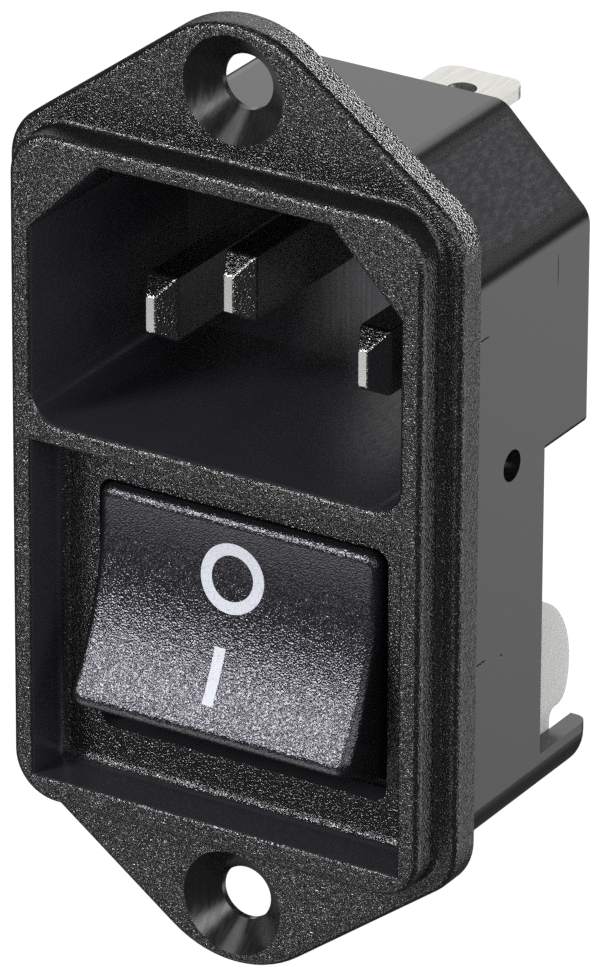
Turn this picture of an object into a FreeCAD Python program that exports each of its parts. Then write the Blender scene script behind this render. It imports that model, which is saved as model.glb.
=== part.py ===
"""Panel-mount appliance inlet with a double-pole rocker switch under the socket.

The part stands as it is mounted: X across the flange, Z up the flange, Y back through the panel.
The origin is on the flange's back face, midway between the two screw holes.
The rocker is at rest with its upper end, marked O, pressed in.
"""

import FreeCAD, Part
import math
import os
import re

import Sketcher

SIZES = {
    # Flange with an ear above and below
    "flange_margin": 1.3,
    "flange_thickness": 2.0,
    "ear_margin": 3.9,
    "ear_tip_radius": 7.0,
    "ear_shoulder_drop": 0.98,
    "flange_corner_radius": 3.5,
    "flange_edge_radius": 0.5,
    "screw_offset": 4.4,
    "screw_hole_radius": 1.65,
    "countersink_radius": 3.25,
    # Raised frame around socket and switch
    "bezel_overhang": 0.25,
    "bezel_end_overhang": 0.3,
    "bezel_rise": 2.1,
    "bezel_corner_radius": 2.8,
    "bezel_edge_radius": 0.5,
    "bezel_foot_radius": 0.35,
    # Body behind the panel
    "side_wall": 1.18,
    "body_half_height": 20.5,
    "body_chamfer": 5.7,
    "body_chamfer_radius": 1.6,
    "body_corner_radius": 2.7,
    "body_depth_at_switch": 10.0,
    "wall": 1.2,
    # Socket
    "socket_half_width": 12.12,
    "socket_floor": 3.08,
    "socket_roof": 0.95,
    "socket_chamfer": 4.6,
    "socket_corner_radius": 1.8,
    "socket_back": 12.6,
    "socket_back_wall": 2.1,
    "socket_lip_radius": 0.35,
    "socket_rear_corner": 0.4,
    # Pins
    "pin_pitch": 14.0,
    "pin_rise": 6.07,
    "earth_offset": 4.0,
    "pin_thickness": 2.0,
    "pin_width": 4.0,
    "pin_tip_thickness": 0.66,
    "pin_tip_width": 2.3,
    "pin_taper": 1.4,
    "pin_front": 0.45,
    "earth_front": -2.45,
    "pin_fit": 0.02,
    "rivet_thickness": 1.2,
    "rivet_width": 2.4,
    "rivet_head": 0.5,
    "rivet_head_overhang": 0.4,
    # Tabs behind the pins
    "tab_thickness": 0.8,
    "pin_tab_width": 6.3,
    "pin_tab_reach": 22.0,
    "pin_tab_plane": 5.0,
    "pin_leg_overhang": 1.5,
    "earth_tab_width": 5.4,
    "earth_tab_top": 16.6,
    "earth_tab_reach": 25.8,
    "earth_leg_drop": 2.2,
    "tab_corner_radius": 1.1,
    "tab_hole_radius": 0.9,
    "tab_hole_inset": 2.9,
    "bend_radius": 0.5,
    # Switch pocket in the raised frame
    "pocket_side_margin": 1.37,
    "pocket_web": 1.22,
    "pocket_end_margin": 1.53,
    "pocket_floor": -0.85,
    "pocket_foot_radius": 0.65,
    "pocket_lip_radius": 0.25,
    "floor_thickness": 1.6,
    # Rocker opening and pivot
    "floor_side": 2.58,
    "floor_end": 2.715,
    "opening_corner_radius": 0.9,
    "pivot_depth": 2.2,
    "opening_drop": 0.145,
    "pivot_radius": 1.25,
    "pivot_clearance": 0.05,
    "pivot_reach": 1.5,
    "cheek_half_height": 3.2,
    "cheek_depth": 7.0,
    # Rocker, in its own upright frame with the pivot as origin
    "rocker_side_gap": 0.26,
    "rocker_end_gap": 1.35,
    "rocker_front": 5.8,
    "rocker_hollow_radius": 18.0,
    "rocker_skirt_back": 0.5,
    "rocker_skirt_gap": 0.5,
    "rocker_wall": 1.1,
    "rocker_edge_radius": 0.65,
    "rocker_corner_radius": 0.9,
    "rocker_tilt": 16.2,
    "rocker_ear_radius": 1.9,
    # Spring posts in the rocker
    "pole_offset": 4.6,
    "post_radius": 1.85,
    "post_back": 1.95,
    "bore_radius": 1.3,
    "bore_front": 3.4,
    # Plungers and their springs
    "plunger_clearance": 0.05,
    "plunger_front": 0.55,
    "plunger_tip": 5.55,
    "plunger_dome_radius": 1.2,
    "plunger_pocket_radius": 0.95,
    "plunger_pocket_back": 3.65,
    "spring_wire_radius": 0.14,
    "spring_radius": 0.74,
    "spring_turns": 8,
    "spring_seat_gap": 0.02,
    # Contact levers, in their own upright frame with the fulcrum as origin
    "fulcrum_depth": 8.5,
    "lever_thickness": 0.7,
    "lever_half_width": 2.1,
    "lever_up": 6.6,
    "lever_down": 4.3,
    "lever_tilt": 6.0,
    "lever_corner_radius": 0.8,
    "fulcrum_groove_radius": 0.3,
    "contact_height": 5.1,
    "contact_radius": 1.5,
    "contact_crown": 0.42,
    "contact_stem_radius": 0.7,
    "contact_clearance": 0.02,
    "contact_edge": 0.12,
    "stem_head_radius": 1.0,
    "stem_head": 0.25,
    # Switch terminals
    "switch_tab_width": 6.3,
    "switch_tab_reach": 18.0,
    "knife_radius": 0.25,
    "knife_neck": 0.2,
    "prong_width": 0.75,
    "prong_front": 7.9,
    "fixed_leg_up": 1.9,
    "fixed_leg_down": 1.7,
    "contact_gap_closed": 0.04,
    # Base that closes the switch from behind
    "base_clearance": 0.1,
    "base_front": 7.0,
    "base_back": 12.1,
    "base_wall": 1.0,
    "base_barrier_half": 0.5,
    "hump_radius": 5.2,
    "hump_depth": 10.3,
    "hump_rise": 6.9,
    "hump_wall": 1.8,
    "hump_low_rise": 4.4,
    "hump_lip_radius": 1.1,
    "neck_radius": 0.6,
    "neck_back": 13.3,
    "base_slot_clearance": 0.05,
    # Shelf under the switch and small marks
    "shelf_back": 15.6,
    "shelf_wall_height": 3.3,
    "shelf_edge_radius": 0.8,
    "snap_height": 0.25,
    "snap_length": 1.0,
    "snap_half_width": 4.0,
    "snap_play": 0.05,
    "snap_place": 8.2,
    "side_dimple_radius": 0.95,
    "side_dimple_depth": 0.8,
    "side_dimple_place": 6.35,
    "side_dimple_height": 2.45,
}

doc = FreeCAD.newDocument("ApplianceInlet")
sheet = doc.addObject("Spreadsheet::Sheet", "Dims")
for row, (alias, value) in enumerate(SIZES.items(), start=1):
    sheet.set(f"A{row}", alias)
    sheet.set(f"B{row}", str(value))
    sheet.setAlias(f"B{row}", alias)
doc.recompute()

PIECES = []

PLANES = {"X": "YZ_Plane", "Y": "XZ_Plane", "Z": "XY_Plane"}
NEAR = 1e-3

# Sizes that follow from others, so that a change to one is carried through
FORMULAS = {
    "body_half_width": "socket_half_width + side_wall",
    "bezel_half_width": "body_half_width + bezel_overhang",
    "bezel_half_height": "body_half_height + bezel_end_overhang",
    "flange_half_width": "bezel_half_width + flange_margin",
    "screw_height": "bezel_half_height + screw_offset",
    "ear_tip_height": "screw_height + ear_margin",
    "ear_centre": "ear_tip_height - ear_tip_radius",
    "ear_shoulder": "bezel_half_height - ear_shoulder_drop",
    "ear_rise": "ear_centre - ear_shoulder",
    "ear_slope": "atan(ear_rise / flange_half_width)"
                 " + asin(ear_tip_radius / sqrt(flange_half_width ^ 2 + ear_rise ^ 2))",
    "ear_apex": "ear_centre + ear_tip_radius / cos(ear_slope)",
    "bezel_front": "-(flange_thickness + bezel_rise)",
    "socket_ceiling": "body_half_height - socket_roof",
    "socket_rear": "socket_back + socket_back_wall",
    "pin_height": "socket_floor + pin_rise",
    "earth_height": "pin_height + earth_offset",
    "leg_back": "socket_rear + tab_thickness",
    "pocket_half_width": "bezel_half_width - pocket_side_margin",
    "pocket_top": "socket_floor - pocket_web",
    "pocket_bottom": "pocket_end_margin - bezel_half_height",
    "pivot_height": "(pocket_top + pocket_bottom) / 2 - opening_drop",
    "opening_half_width": "pocket_half_width - floor_side",
    "opening_half_height": "(pocket_top - pocket_bottom) / 2 - floor_end",
    "rocker_half_width": "opening_half_width - rocker_side_gap",
    "rocker_half_height": "opening_half_height - rocker_end_gap",
    "rocker_skirt_half_height": "opening_half_height - rocker_skirt_gap",
    "cavity_half_width": "body_half_width - wall",
    "cavity_top": "socket_floor - wall",
    "cavity_bottom": "wall - body_half_height",
    "cavity_front": "pocket_floor + floor_thickness",
    "shelf_top": "shelf_wall_height - body_half_height",
    "hump_height": "hump_rise - body_half_height",
    "hump_low": "hump_low_rise - body_half_height",
    "closed_rim": "(contact_height + contact_radius) * sin(lever_tilt) + contact_crown",
    "fixed_leg_front": "fulcrum_depth + closed_rim + contact_gap_closed + contact_crown",
    "fixed_height": "pivot_height + contact_height * cos(lever_tilt)",
    "load_tab_top": "fixed_height + fixed_leg_up",
    "base_floor": "fixed_leg_front + tab_thickness",
    "base_half_width": "cavity_half_width - base_clearance",
    "base_top": "cavity_top - base_clearance",
    "base_bottom": "cavity_bottom + base_clearance",
}


def linked(formula):
    """Write a formula out in the sheet's names."""

    def spell(word):
        if word[0] in FORMULAS:
            return f"({linked(FORMULAS[word[0]])})"
        return f"Dims.{word[0]}" if word[0] in SIZES else word[0]

    return re.sub(r"[a-z]\w*", spell, formula)


def amount(formula):
    """Return a formula's value for the sizes in the sheet."""
    return float(sheet.evalExpression(linked(formula)))


def polygon(*points):
    """Return a drawer of a closed outline whose corners are pairs of formulas."""

    def draw(drawing):
        first = drawing.GeometryCount
        count = len(points)
        spots = []
        for index in range(count):
            angle = 0.3 + 2 * math.pi * index / count
            spots.append(FreeCAD.Vector(10 * math.cos(angle), 10 * math.sin(angle), 0))
        for index in range(count):
            drawing.addGeometry(Part.LineSegment(spots[index], spots[(index + 1) % count]))
        for index in range(count):
            joined = Sketcher.Constraint("Coincident", first + index, 2, first + (index + 1) % count, 1)
            drawing.addConstraint(joined)
        for index, (across, up) in enumerate(points):
            place_point(drawing, first + index, 1, across, up, spots[index])

    return draw


def circle(across, up, radius):
    """Return a drawer of a circle whose centre and radius are formulas."""

    def draw(drawing):
        spot = FreeCAD.Vector(1, 2, 0)
        ring = drawing.addGeometry(Part.Circle(spot, FreeCAD.Vector(0, 0, 1), 1.0))
        place_point(drawing, ring, 3, across, up, spot)
        size = drawing.addConstraint(Sketcher.Constraint("Radius", ring, 1.0))
        drawing.setExpression(f"Constraints[{size}]", linked(radius))

    return draw


def place_point(drawing, element, end, across, up, spot):
    """Tie one point of a drawing to two formulas, measured from the origin."""
    for kind, formula, start in (("DistanceX", across, spot.x), ("DistanceY", up, spot.y)):
        index = drawing.addConstraint(Sketcher.Constraint(kind, -1, 1, element, end, start))
        drawing.setExpression(f"Constraints[{index}]", linked(formula))


def rectangle(left, right, low, high):
    """Return a drawer of a rectangle between four formulas."""
    return polygon((left, low), (right, low), (right, high), (left, high))


def along(axis, *spots):
    """Return a test for straight edges that run along an axis through one of the spots.

    A spot is the pair of the other two coordinates, in X, Y, Z order.
    """
    others = [letter for letter in "xyz" if letter != axis]

    def test(edge):
        if len(edge.Vertexes) != 2:
            return False
        ends = [vertex.Point for vertex in edge.Vertexes]
        for spot in spots:
            gaps = [abs(getattr(end, other) - value)
                    for end in ends for other, value in zip(others, spot)]
            if max(gaps) < NEAR:
                return True
        return False

    return test


def in_plane(axis, value, inside=None):
    """Return a test for edges in a plane across an axis whose middle passes a second test."""

    def test(edge):
        points = [vertex.Point for vertex in edge.Vertexes] + [edge.CenterOfMass]
        if max(abs(getattr(point, axis) - value) for point in points) > NEAR:
            return False
        return inside is None or inside(edge.CenterOfMass)

    return test


class Piece:
    """One sub-part: a body whose features are added one after another."""

    def __init__(self, label):
        self.body = doc.addObject("PartDesign::Body", label)
        self.body.Label = label
        PIECES.append(self.body)

    def drawing(self, axis, station, outlines):
        """Add a sketch across an axis at a station, in the order X, Y, Z of the other two axes."""
        role = PLANES[axis]
        plane = next(item for item in self.body.Origin.OriginFeatures if item.Role == role)
        drawing = self.body.newObject("Sketcher::SketchObject", "Outline")
        drawing.AttachmentSupport = (plane, [""])
        drawing.MapMode = "FlatFace"
        sign = "-" if axis == "Y" else ""
        drawing.setExpression("AttachmentOffset.Base.z", linked(f"{sign}({station})"))
        for outline in outlines:
            outline(drawing)
        return drawing

    def feature(self, kind, axis, low, high, station, outlines):
        """Add a pad or pocket between two stations on an axis."""
        drawing = self.drawing(axis, station, outlines)
        added = self.body.newObject(f"PartDesign::{kind}", kind)
        added.Profile = drawing
        added.setExpression("Length", linked(f"({high}) - ({low})"))
        self.settle(added)

    def settle(self, added):
        """Work out a new feature and stop if it failed."""
        doc.recompute()
        if "Invalid" in added.State or added.Shape.isNull():
            raise RuntimeError(f"{added.Label} of {self.body.Label} failed: {added.getStatusString()}")

    def pad(self, axis, low, high, *outlines):
        """Add material between two stations on an axis."""
        self.feature("Pad", axis, low, high, high if axis == "Y" else low, outlines)

    def pocket(self, axis, low, high, *outlines):
        """Take material away between two stations on an axis."""
        before = self.body.Tip.Shape.Volume
        self.feature("Pocket", axis, low, high, low if axis == "Y" else high, outlines)
        if self.body.Tip.Shape.Volume > before - NEAR:
            raise RuntimeError(f"a pocket of {self.body.Label} cuts nothing")

    def dress(self, kind, size_name, size, *tests):
        """Add a fillet or chamfer to the edges that pass one of the tests."""
        tip = self.body.Tip
        names = []
        for index, edge in enumerate(tip.Shape.Edges, start=1):
            if any(test(edge) for test in tests):
                names.append(f"Edge{index}")
        if not names:
            raise RuntimeError(f"no edge of {self.body.Label} for {size}")
        added = self.body.newObject(f"PartDesign::{kind}", kind)
        added.Base = (tip, names)
        added.setExpression(size_name, linked(size))
        self.settle(added)

    def fillet(self, radius, *tests):
        """Round the edges that pass one of the tests."""
        self.dress("Fillet", "Radius", radius, *tests)

    def chamfer(self, size, *tests):
        """Bevel the edges that pass one of the tests at 45 degrees."""
        self.dress("Chamfer", "Size", size, *tests)

    def place(self, across, back, up, tilt):
        """Set the body in the part's frame, tilted about its own X axis."""
        about_x = FreeCAD.Rotation(FreeCAD.Vector(1, 0, 0), 1)
        self.body.Placement = FreeCAD.Placement(FreeCAD.Vector(), about_x)
        self.body.setExpression("Placement.Base.x", linked(across))
        self.body.setExpression("Placement.Base.y", linked(back))
        self.body.setExpression("Placement.Base.z", linked(up))
        self.body.setExpression("Placement.Rotation.Angle", linked(tilt))
        doc.recompute()


def make_housing():
    """Mould the housing in one piece: flange, raised frame, socket, switch pocket, body and shelf."""
    housing = Piece("housing")
    add_outer_form(housing)
    cut_socket(housing)
    cut_switch_pocket(housing)
    cut_fixings(housing)


def add_outer_form(housing):
    """Add everything that the housing is before its hollows are cut."""
    housing.pad(
        "Y", "bezel_front", "-flange_thickness",
        rectangle("-bezel_half_width", "bezel_half_width", "-bezel_half_height", "bezel_half_height"),
    )
    frame_side = amount("bezel_half_width")
    frame_top = amount("bezel_half_height")
    corners = [(s * frame_side, e * frame_top) for s in (-1, 1) for e in (-1, 1)]
    housing.fillet("bezel_corner_radius", along("y", *corners))
    housing.fillet("bezel_edge_radius", in_plane("y", amount("bezel_front")))

    apex = amount("ear_apex")
    shoulder = amount("ear_shoulder")
    width = amount("flange_half_width")
    face = amount("-flange_thickness")
    housing.pad(
        "Y", "-flange_thickness", "0",
        polygon(
            ("flange_half_width", "ear_shoulder"), ("0", "ear_apex"),
            ("-flange_half_width", "ear_shoulder"), ("-flange_half_width", "-ear_shoulder"),
            ("0", "-ear_apex"), ("flange_half_width", "-ear_shoulder"),
        ),
    )
    housing.fillet("ear_tip_radius", along("y", (0, apex), (0, -apex)))
    corners = [(s * width, e * shoulder) for s in (-1, 1) for e in (-1, 1)]
    housing.fillet("flange_corner_radius", along("y", *corners))

    def foot(edge):
        ends = [vertex.Point for vertex in edge.Vertexes]
        return all(abs(end.x) < frame_side + NEAR and abs(end.z) < frame_top + NEAR for end in ends)

    rim = in_plane("y", face)
    housing.fillet("bezel_foot_radius", lambda edge: rim(edge) and foot(edge))
    housing.fillet("flange_edge_radius", lambda edge: rim(edge) and not foot(edge))

    housing.pad("Y", "0", "body_depth_at_switch", body_outline("-body_half_height"))
    housing.pad("Y", "body_depth_at_switch", "socket_rear", body_outline("cavity_top"))
    housing.pad(
        "Y", "body_depth_at_switch", "shelf_back",
        rectangle("-body_half_width", "body_half_width", "-body_half_height", "shelf_top"),
    )
    side = amount("body_half_width")
    top = amount("body_half_height")
    bevel = amount("body_chamfer")
    slopes = [(x, z) for s in (-1, 1) for x, z in ((s * side, top - bevel), (s * (side - bevel), top))]
    housing.fillet("body_chamfer_radius", along("y", *slopes))
    housing.fillet("body_corner_radius", along("y", (-side, -top), (side, -top)))
    low = amount("cavity_top")
    housing.fillet("socket_rear_corner", along("y", (-side, low), (side, low)))


def body_outline(bottom):
    """Outline the rear body: bevelled above, down to a given height."""
    step = "body_half_width - body_chamfer"
    return polygon(
        ("-body_half_width", bottom), ("body_half_width", bottom),
        ("body_half_width", "body_half_height - body_chamfer"), (step, "body_half_height"),
        (f"-({step})", "body_half_height"), ("-body_half_width", "body_half_height - body_chamfer"),
    )


def cut_socket(housing):
    """Cut the socket and the slots that hold the pins."""
    step = "socket_half_width - socket_chamfer"
    housing.pocket(
        "Y", "bezel_front", "socket_back",
        polygon(
            ("-socket_half_width", "socket_floor"), ("socket_half_width", "socket_floor"),
            ("socket_half_width", "socket_ceiling - socket_chamfer"), (step, "socket_ceiling"),
            (f"-({step})", "socket_ceiling"), ("-socket_half_width", "socket_ceiling - socket_chamfer"),
        ),
    )
    side = amount("socket_half_width")
    floor = amount("socket_floor")
    housing.fillet("socket_corner_radius", along("y", (-side, floor), (side, floor)))
    front = amount("bezel_front")

    def rim(middle):
        return abs(middle.x) < side + NEAR and floor - NEAR < middle.z < amount("socket_ceiling") + NEAR

    housing.fillet("socket_lip_radius", in_plane("y", front, rim))
    half = "(pin_thickness / 2 + pin_fit)"
    tall = "(pin_width / 2 + pin_fit)"
    slots = []
    for across, up in (
        ("-pin_pitch / 2", "pin_height"), ("pin_pitch / 2", "pin_height"), ("0", "earth_height"),
    ):
        slots.append(
            rectangle(f"{across} - {half}", f"{across} + {half}", f"{up} - {tall}", f"{up} + {tall}")
        )
    housing.pocket("Y", "socket_back", "socket_rear", *slots)


def cut_switch_pocket(housing):
    """Cut the pocket, the rocker's opening and the hollow behind, and add the pivot's cheeks."""
    housing.pocket(
        "Y", "bezel_front", "pocket_floor",
        rectangle("-pocket_half_width", "pocket_half_width", "pocket_bottom", "pocket_top"),
    )
    floor = amount("pocket_floor")
    housing.fillet("pocket_foot_radius", in_plane("y", floor))
    left = amount("-pocket_half_width")
    low = amount("pocket_bottom")
    top = amount("pocket_top")

    def rim(middle):
        return abs(middle.x) < NEAR - left and low - NEAR < middle.z < top + NEAR

    housing.fillet("pocket_lip_radius", in_plane("y", amount("bezel_front"), rim))
    lower = "pivot_height - opening_half_height"
    upper = "pivot_height + opening_half_height"
    housing.pocket(
        "Y", "pocket_floor", "cavity_front",
        rectangle("-opening_half_width", "opening_half_width", lower, upper),
    )
    wide = amount("opening_half_width")
    corners = [(s * wide, amount(e)) for s in (-1, 1) for e in (lower, upper)]
    housing.fillet("opening_corner_radius", along("y", *corners))
    housing.pocket(
        "Y", "cavity_front", "shelf_back",
        rectangle("-cavity_half_width", "cavity_half_width", "cavity_bottom", "cavity_top"),
    )
    inner = amount("cavity_half_width")
    bottom = amount("cavity_bottom")
    housing.fillet("body_corner_radius - wall", along("y", (-inner, bottom), (inner, bottom)))
    rear = in_plane("y", amount("shelf_back"))

    def outside(edge):
        ends = [vertex.Point for vertex in edge.Vertexes]
        return all(abs(end.x) > inner + 0.1 or end.z < bottom - 0.1 for end in ends)

    housing.fillet("shelf_edge_radius", lambda edge: rear(edge) and outside(edge))
    for side in ("-", ""):
        housing.pad(
            "Y", "cavity_front", "cheek_depth",
            rectangle(f"{side}opening_half_width", f"{side}(body_half_width - wall / 2)",
                      "pivot_height - cheek_half_height", "pivot_height + cheek_half_height"),
        )
    bore = circle("pivot_depth", "pivot_height", "pivot_radius + pivot_clearance")
    reach = "opening_half_width + pivot_reach"
    housing.pocket("X", "opening_half_width", reach, bore)
    housing.pocket("X", f"-({reach})", "-opening_half_width", bore)
    grip = "snap_length / 2 + snap_play"
    groove = rectangle("-snap_half_width - snap_play", "snap_half_width + snap_play",
                       f"snap_place - {grip}", f"snap_place + {grip}")
    deep = "snap_height - base_clearance + snap_play"
    housing.pocket("Z", "cavity_top", f"cavity_top + {deep}", groove)
    housing.pocket("Z", f"cavity_bottom - ({deep})", "cavity_bottom", groove)


def cut_fixings(housing):
    """Drill and countersink the screw holes, and add the small dimple in the right side."""
    housing.pocket(
        "Y", "-flange_thickness", "0",
        circle("0", "screw_height", "screw_hole_radius"),
        circle("0", "-screw_height", "screw_hole_radius"),
    )
    height = amount("screw_height")
    radius = amount("screw_hole_radius")

    def at_hole(middle):
        return abs(middle.x) < radius and abs(abs(middle.z) - height) < radius

    housing.chamfer(
        "countersink_radius - screw_hole_radius", in_plane("y", amount("-flange_thickness"), at_hole)
    )
    housing.pocket(
        "X", "body_half_width - side_dimple_depth", "body_half_width",
        circle("side_dimple_place", "side_dimple_height", "side_dimple_radius"),
    )


def block(label, left, right, front, back, low, high):
    """Add a box between six formulas."""
    box = doc.addObject("Part::Box", label)
    for name, start, end in (("Length", left, right), ("Width", front, back), ("Height", low, high)):
        box.setExpression(name, linked(f"({end}) - ({start})"))
    for letter, start in (("x", left), ("y", front), ("z", low)):
        box.setExpression(f"Placement.Base.{letter}", linked(start))
    return box


def joined(label, *solids):
    """Fuse solids that touch into one sub-part."""
    union = doc.addObject("Part::MultiFuse", label)
    union.Shapes = list(solids)
    union.Refine = True
    union.Label = label
    PIECES.append(union)
    doc.recompute()


def make_pin(label, across, up, front):
    """Forge one pin: a blade with a tapered tip, a tenon through its tab and a riveted head."""
    taper_end = f"{front} + pin_taper"
    tip = doc.addObject("Part::Wedge", f"{label}_tip")
    for name, formula in (
        ("Xmin", f"{across} - pin_tip_thickness / 2"), ("Xmax", f"{across} + pin_tip_thickness / 2"),
        ("Zmin", f"{up} - pin_tip_width / 2"), ("Zmax", f"{up} + pin_tip_width / 2"),
        ("X2min", f"{across} - pin_thickness / 2"), ("X2max", f"{across} + pin_thickness / 2"),
        ("Z2min", f"{up} - pin_width / 2"), ("Z2max", f"{up} + pin_width / 2"),
        ("Ymin", front), ("Ymax", taper_end),
    ):
        tip.setExpression(name, linked(formula))

    def bar(name, thickness, width, start, end):
        return block(
            f"{label}_{name}", f"{across} - ({thickness}) / 2", f"{across} + ({thickness}) / 2",
            start, end, f"{up} - ({width}) / 2", f"{up} + ({width}) / 2",
        )

    blade = bar("blade", "pin_thickness", "pin_width", taper_end, "socket_rear")
    tenon = bar("tenon", "rivet_thickness", "rivet_width", "socket_rear", "leg_back")
    rivet = bar(
        "rivet", "rivet_thickness + 2 * rivet_head_overhang", "rivet_width + 2 * rivet_head_overhang",
        "leg_back", "leg_back + rivet_head",
    )
    joined(label, tip, blade, tenon, rivet)


def tenon_hole(across, up):
    """Outline the hole that a pin's tenon passes through."""
    half = "(rivet_thickness / 2 + pin_fit)"
    tall = "(rivet_width / 2 + pin_fit)"
    return rectangle(f"{across} - {half}", f"{across} + {half}", f"{up} - {tall}", f"{up} + {tall}")


def make_pin_tab(label, side):
    """Fold a line or neutral tab: a leg on the housing's back with the tab bent away from it."""
    tab = Piece(label)
    inner = f"{side}(pin_tab_plane - tab_thickness / 2)"
    outer = f"{side}(pin_tab_plane + tab_thickness / 2)"
    end = f"{side}(pin_pitch / 2 + pin_leg_overhang)"
    low = "pin_height - pin_tab_width / 2"
    high = "pin_height + pin_tab_width / 2"
    tab.pad(
        "Z", low, high,
        polygon(
            (inner, "socket_rear"), (end, "socket_rear"), (end, "leg_back"),
            (outer, "leg_back"), (outer, "pin_tab_reach"), (inner, "pin_tab_reach"),
        ),
    )
    tab.fillet("bend_radius + tab_thickness", along("z", (amount(inner), amount("socket_rear"))))
    tab.fillet("bend_radius", along("z", (amount(outer), amount("leg_back"))))
    reach = amount("pin_tab_reach")
    tab.fillet("tab_corner_radius", along("x", (reach, amount(low)), (reach, amount(high))))
    tab.pocket("Y", "socket_rear", "leg_back", tenon_hole(f"{side}pin_pitch / 2", "pin_height"))
    hole = circle("pin_tab_reach - tab_hole_inset", "pin_height", "tab_hole_radius")
    near, far = (outer, inner) if side else (inner, outer)
    tab.pocket("X", near, far, hole)


def make_earth_tab():
    """Fold the earth tab: a leg up the housing's back and a level tab above the earth pin."""
    tab = Piece("earth_tab")
    under = "earth_tab_top - tab_thickness"
    half = "earth_tab_width / 2"
    tab.pad(
        "X", f"-{half}", half,
        polygon(
            ("socket_rear", "earth_height - earth_leg_drop"),
            ("leg_back", "earth_height - earth_leg_drop"),
            ("leg_back", under), ("earth_tab_reach", under),
            ("earth_tab_reach", "earth_tab_top"), ("socket_rear", "earth_tab_top"),
        ),
    )
    bend = (amount("socket_rear"), amount("earth_tab_top"))
    tab.fillet("bend_radius + tab_thickness", along("x", bend))
    tab.fillet("bend_radius", along("x", (amount("leg_back"), amount(under))))
    wide = amount(half)
    reach = amount("earth_tab_reach")
    tab.fillet("tab_corner_radius", along("z", (wide, reach), (-wide, reach)))
    tab.pocket("Y", "socket_rear", "leg_back", tenon_hole("0", "earth_height"))
    hole = circle("0", "earth_tab_reach - tab_hole_inset", "tab_hole_radius")
    tab.pocket("Z", under, "earth_tab_top", hole)


def make_rocker():
    """Mould the rocker upright with its pivot as origin, then tilt it to its rest."""
    rocker = Piece("rocker")
    wide = "rocker_half_width"
    inner = "(rocker_half_width - rocker_wall)"
    rocker.pad(
        "X", f"-{wide}", wide,
        polygon(
            ("-rocker_front", "rocker_half_height"), ("-rocker_front", "-rocker_half_height"),
            ("rocker_skirt_back", "-rocker_skirt_half_height"),
            ("rocker_skirt_back", "rocker_skirt_half_height"),
        ),
    )
    rise = "sqrt(rocker_hollow_radius ^ 2 - rocker_half_height ^ 2)"
    rocker.pocket("X", f"-{wide}", wide, circle(f"-rocker_front - {rise}", "0", "rocker_hollow_radius"))
    across = amount(wide)
    front = amount("-rocker_front")
    back = amount("rocker_skirt_back")

    def corner(edge):
        ends = [vertex.Point for vertex in edge.Vertexes]
        level = all(abs(abs(end.x) - across) < NEAR for end in ends)
        return level and abs(ends[0].y - ends[1].y) > 1 and abs(ends[0].z - ends[1].z) < 1

    def around_face(edge):
        return edge.BoundBox.YMax < back - 1 and edge.CenterOfMass.y < front + 2

    rocker.fillet("rocker_corner_radius", corner)
    rocker.fillet("rocker_edge_radius", around_face)
    face = f"(rocker_hollow_radius - rocker_front - {rise})"
    hollow_end = "(rocker_half_height - rocker_wall)"
    rocker.pocket(
        "Y", f"{face} + rocker_wall", "rocker_skirt_back",
        rectangle(f"-{inner}", inner, f"-{hollow_end}", hollow_end),
    )
    reach = "(opening_half_width + pivot_reach - pivot_clearance)"
    for radius, end in (("rocker_ear_radius", wide), ("pivot_radius", reach)):
        rocker.pad("X", inner, end, circle("0", "0", radius))
        rocker.pad("X", f"-{end}", f"-{inner}", circle("0", "0", radius))
    for side in ("-", ""):
        post = circle(f"{side}pole_offset", "0", "post_radius")
        bore = circle(f"{side}pole_offset", "0", "bore_radius")
        rocker.pad("Y", f"{face} + rocker_wall / 2", "post_back", post)
        rocker.pocket("Y", "-bore_front", "post_back", bore)
    rocker.place("0", "pivot_depth", "pivot_height", "-rocker_tilt")


def make_plunger(label, side):
    """Turn one plunger: a round-nosed cap whose hollow holds the spring's end."""
    plunger = Piece(label)
    radius = "bore_radius - plunger_clearance"
    plunger.pad("Y", "-plunger_front", "plunger_tip", circle("0", "0", radius))
    plunger.fillet("plunger_dome_radius", in_plane("y", amount("plunger_tip")))
    hollow = circle("0", "0", "plunger_pocket_radius")
    plunger.pocket("Y", "-plunger_front", "plunger_pocket_back", hollow)
    plunger.place(f"{side}pole_offset", "pivot_depth", "pivot_height", "-rocker_tilt")


def make_spring(label, side):
    """Wind one spring between the end of the rocker's bore and the plunger's hollow."""
    spring = Piece(label)
    start = "-bore_front + spring_wire_radius + spring_seat_gap"
    section = spring.drawing("Z", "0", [circle("spring_radius", start, "spring_wire_radius")])
    coil = spring.body.newObject("PartDesign::AdditiveHelix", "Coil")
    coil.Profile = section
    coil.ReferenceAxis = (section, ["V_Axis"])
    coil.Mode = "height-turns-angle"
    coil.setExpression("Turns", linked("spring_turns"))
    height = "bore_front + plunger_pocket_back - 2 * (spring_wire_radius + spring_seat_gap)"
    coil.setExpression("Height", linked(height))
    doc.recompute()
    spring.place(f"{side}pole_offset", "pivot_depth", "pivot_height", "-rocker_tilt")


def make_lever(label, side):
    """Stamp one contact lever, with a hole for its contact, and set it with the contacts open."""
    lever = Piece(label)
    lever.pad(
        "X", "-lever_half_width", "lever_half_width",
        rectangle("-lever_thickness", "0", "-lever_down", "lever_up"),
    )
    wide = amount("lever_half_width")
    ends = (amount("-lever_down"), amount("lever_up"))
    lever.fillet("lever_corner_radius", along("y", *[(s * wide, end) for s in (-1, 1) for end in ends]))
    hole = circle("0", "contact_height", "contact_stem_radius + contact_clearance")
    lever.pocket("Y", "-lever_thickness", "0", hole)
    groove = circle("0", "0", "fulcrum_groove_radius")
    lever.pocket("X", "-lever_half_width", "lever_half_width", groove)
    lever.place(f"{side}pole_offset", "fulcrum_depth", "pivot_height", "lever_tilt")


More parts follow.
